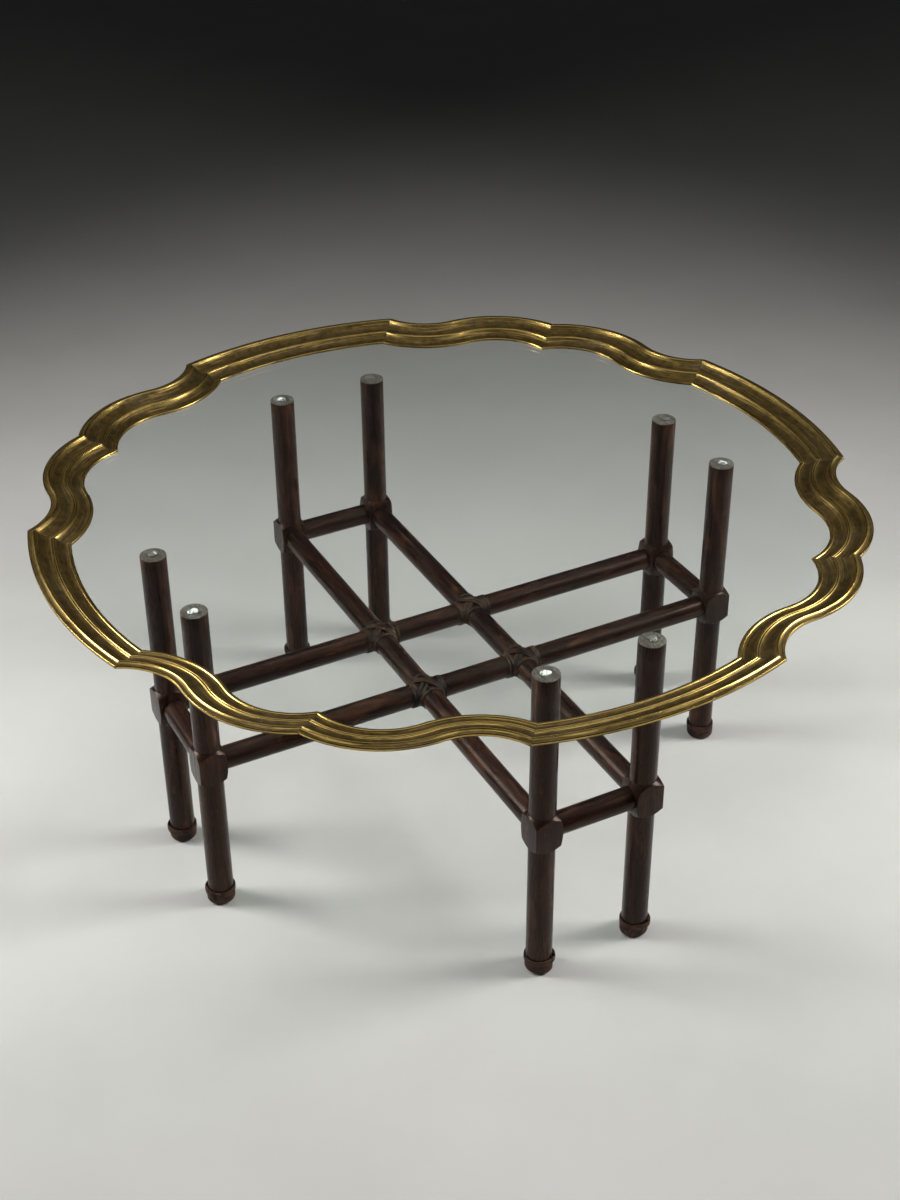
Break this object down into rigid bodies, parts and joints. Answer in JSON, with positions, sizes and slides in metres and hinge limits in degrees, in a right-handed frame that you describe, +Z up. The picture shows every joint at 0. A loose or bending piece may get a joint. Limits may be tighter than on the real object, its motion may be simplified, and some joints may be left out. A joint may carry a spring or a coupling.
{
  "type": "coffee table",
  "caption": "Low table: a glass panel in a scalloped brass rim, lying loose on a stand of paired round wooden legs joined by crossing rails with leather-lashed joints.",
  "frame": {"origin": "on the floor, under the middle of the table", "axes": "+Z up; the long rails run along X and Y, and the four pairs of legs stand to +X (east), +Y (north), -X (west) and -Y (south)"},
  "size_m": [1.016, 1.016, 0.4575],
  "materials": {
    "dark_wood": "very dark brown stain under a worn satin lacquer",
    "lashing_leather": "dark brown leather strip, waxed and worn",
    "wrap_leather": "reddish brown leather strip, worn at its edges",
    "clear_pad": "soft clear dab, clouded white with age",
    "clear_bedding": "thin clear bedding, slightly yellowed",
    "table_glass": "clear float glass with a faint grey-green tint",
    "aged_brass": "polished brass gone to a brown patina in its coves, bright on its ridges"
  },
  "bodies": {
    "stand": {"leg_east_north": "dark_wood", "leg_east_south": "dark_wood", "leg_north_west": "dark_wood", "leg_north_east": "dark_wood", "leg_west_south": "dark_wood", "leg_west_north": "dark_wood", "leg_south_east": "dark_wood", "leg_south_west": "dark_wood", "long_rail_east": "dark_wood", "long_rail_north": "dark_wood", "long_rail_west": "dark_wood", "long_rail_south": "dark_wood", "end_rail_east": "dark_wood", "end_rail_north": "dark_wood", "end_rail_west": "dark_wood", "end_rail_south": "dark_wood", "lashing_east_north": "lashing_leather", "lashing_north_west": "lashing_leather", "lashing_west_south": "lashing_leather", "lashing_south_east": "lashing_leather", "foot_wrap_east_north": "wrap_leather", "foot_wrap_east_south": "wrap_leather", "foot_wrap_north_west": "wrap_leather", "foot_wrap_north_east": "wrap_leather", "foot_wrap_west_south": "wrap_leather", "foot_wrap_west_north": "wrap_leather", "foot_wrap_south_east": "wrap_leather", "foot_wrap_south_west": "wrap_leather", "glass_pads": "clear_pad"},
    "tray": {"glass_panel": "table_glass", "glass_bedding": "clear_bedding", "rim_arc_east": "aged_brass", "rim_arc_north": "aged_brass", "rim_arc_west": "aged_brass", "rim_arc_south": "aged_brass", "rim_scroll_east_north": "aged_brass", "rim_scroll_east_south": "aged_brass", "rim_scroll_north_west": "aged_brass", "rim_scroll_north_east": "aged_brass", "rim_scroll_west_south": "aged_brass", "rim_scroll_west_north": "aged_brass", "rim_scroll_south_east": "aged_brass", "rim_scroll_south_west": "aged_brass"}
  },
  "joints": [
    {"name": "tray_lift", "type": "slide", "parent": "stand", "child": "tray", "axis": [0, 0, 1], "range_m": [0, 0.15]}
  ]
}
